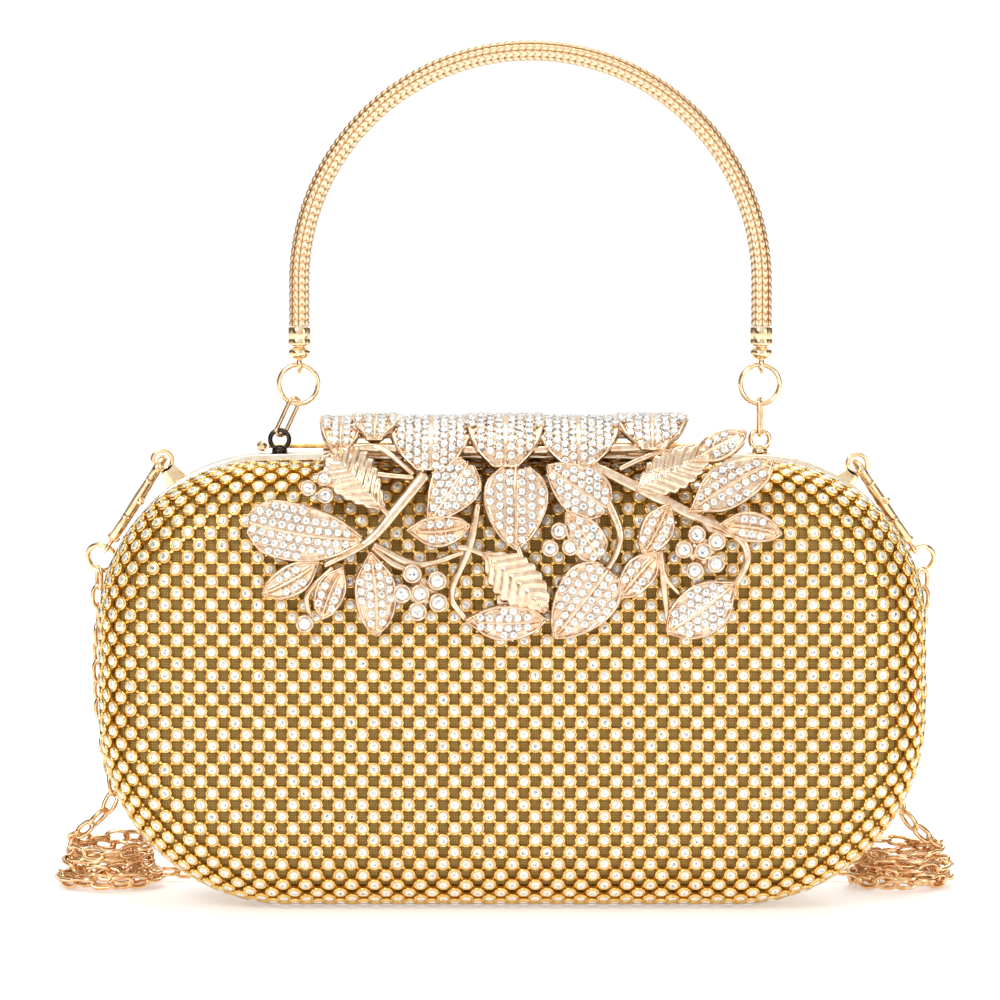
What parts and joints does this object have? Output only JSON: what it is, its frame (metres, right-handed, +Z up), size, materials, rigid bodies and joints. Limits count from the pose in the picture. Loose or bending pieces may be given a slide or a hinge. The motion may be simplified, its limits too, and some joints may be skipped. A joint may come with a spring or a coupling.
{
  "type": "evening bag",
  "caption": "Rounded hard box evening bag with rhinestone mesh covers, openwork leaf and flower clasp flap, arched top handle on links, and a detachable chain strap.",
  "frame": {"origin": "centre of the bag on the surface it stands on", "axes": "+X to the bag's left-hand side as it faces you, right in the front view; -Y is the front with the clasp flap; +Z up"},
  "size_m": [0.2408, 0.0754, 0.227],
  "materials": {
    "yellow_gold_metal": "polished yellow gold plate",
    "pale_gold_metal": "polished pale gold plate",
    "rose_gold_casting": "polished rose gold casting set with clear stones",
    "chain_metal": "bright gold cable chain",
    "knit_chain_metal": "knitted snake chain, bright",
    "rhinestone_mesh": "gold cups with clear crystals over olive gold fabric",
    "moulded_shell": "moulded hard shell",
    "satin_lining": "champagne satin",
    "steel": "plain steel"
  },
  "bodies": {
    "case_rear": {"rear_frame": "yellow_gold_metal", "rear_shell": "moulded_shell", "rear_mesh_cover": "rhinestone_mesh", "rear_lining": "satin_lining", "slip_pocket": "satin_lining", "bottom_hinge_left_rear_leaf": "yellow_gold_metal", "bottom_hinge_left_pin": "yellow_gold_metal", "chain_lug_left": "pale_gold_metal", "handle_lug_left": "pale_gold_metal", "flap_hinge_post_left": "pale_gold_metal", "bottom_hinge_right_rear_leaf": "yellow_gold_metal", "bottom_hinge_right_pin": "yellow_gold_metal", "chain_lug_right": "pale_gold_metal", "handle_lug_right": "pale_gold_metal", "flap_hinge_post_right": "pale_gold_metal", "flap_hinge_rod": "yellow_gold_metal", "clasp_hook_left": "pale_gold_metal", "clasp_ring_left": "pale_gold_metal", "clasp_hook_right": "pale_gold_metal", "clasp_ring_right": "pale_gold_metal", "chain_fall_left": "chain_metal", "chain_heap_left": "chain_metal", "chain_rear_run": "chain_metal", "chain_heap_right": "chain_metal", "chain_fall_right": "chain_metal"},
    "case_front": {"front_frame": "yellow_gold_metal", "front_shell": "moulded_shell", "front_mesh_cover": "rhinestone_mesh", "front_lining": "satin_lining", "catch_plate": "steel", "bottom_hinge_left_front_leaf": "yellow_gold_metal", "bottom_hinge_right_front_leaf": "yellow_gold_metal"},
    "clasp_flap": {"flap_hinge_barrel": "pale_gold_metal", "flap_bridge": "rose_gold_casting", "left_spray": "rose_gold_casting", "centre_spray": "rose_gold_casting", "right_spray": "rose_gold_casting", "flower_left": "rose_gold_casting", "flower_right": "rose_gold_casting", "flap_magnet": "steel"},
    "links": {"handle_link_left": "pale_gold_metal", "handle_link_right": "pale_gold_metal"},
    "rings": {"handle_ring_left": "pale_gold_metal", "handle_ring_right": "pale_gold_metal"},
    "handle": {"handle_cap_left": "pale_gold_metal", "handle_cap_right": "pale_gold_metal", "handle_tube": "knit_chain_metal", "handle_core": "steel"},
    "trigger_left": {"clasp_trigger_left": "pale_gold_metal"},
    "trigger_right": {"clasp_trigger_right": "pale_gold_metal"}
  },
  "joints": [
    {"name": "flap_lift", "type": "hinge", "parent": "case_rear", "child": "clasp_flap", "pos_m": [0, 0.0108, 0.12], "axis": [-1, 0, 0], "range_deg": [0, 80]},
    {"name": "front_open", "type": "hinge", "parent": "case_rear", "child": "case_front", "pos_m": [0, 0.0052, 0.0013], "axis": [1, 0, 0], "range_deg": [0, 24]},
    {"name": "link_swing", "type": "hinge", "parent": "case_rear", "child": "links", "pos_m": [0.00225, 0.0074, 0.12448], "axis": [-1, 0, 0], "range_deg": [0, 60]},
    {"name": "ring_swing", "type": "hinge", "parent": "links", "child": "rings", "pos_m": [0.0039, 0.0074, 0.13142], "axis": [-1, 0, 0], "range_deg": [0, 25]},
    {"name": "handle_fold", "type": "hinge", "parent": "rings", "child": "handle", "pos_m": [0.0045, 0.0074, 0.14165], "axis": [-1, 0, 0], "range_deg": [0, 25]},
    {"name": "left_trigger_press", "type": "hinge", "parent": "case_rear", "child": "trigger_left", "pos_m": [-0.10116, 0.01135, 0.10251], "axis": [-0.8458, 0, 0.5335], "range_deg": [0, 16], "stiffness_Nm_per_rad": 0.004},
    {"name": "right_trigger_press", "type": "hinge", "parent": "case_rear", "child": "trigger_right", "pos_m": [0.10042, 0.01134, 0.10181], "axis": [-0.8275, 0, -0.5614], "range_deg": [0, 16], "stiffness_Nm_per_rad": 0.004}
  ],
  "couplings": [
    {"joint": "front_open", "follows": "flap_lift", "ratio": 0.3}
  ]
}
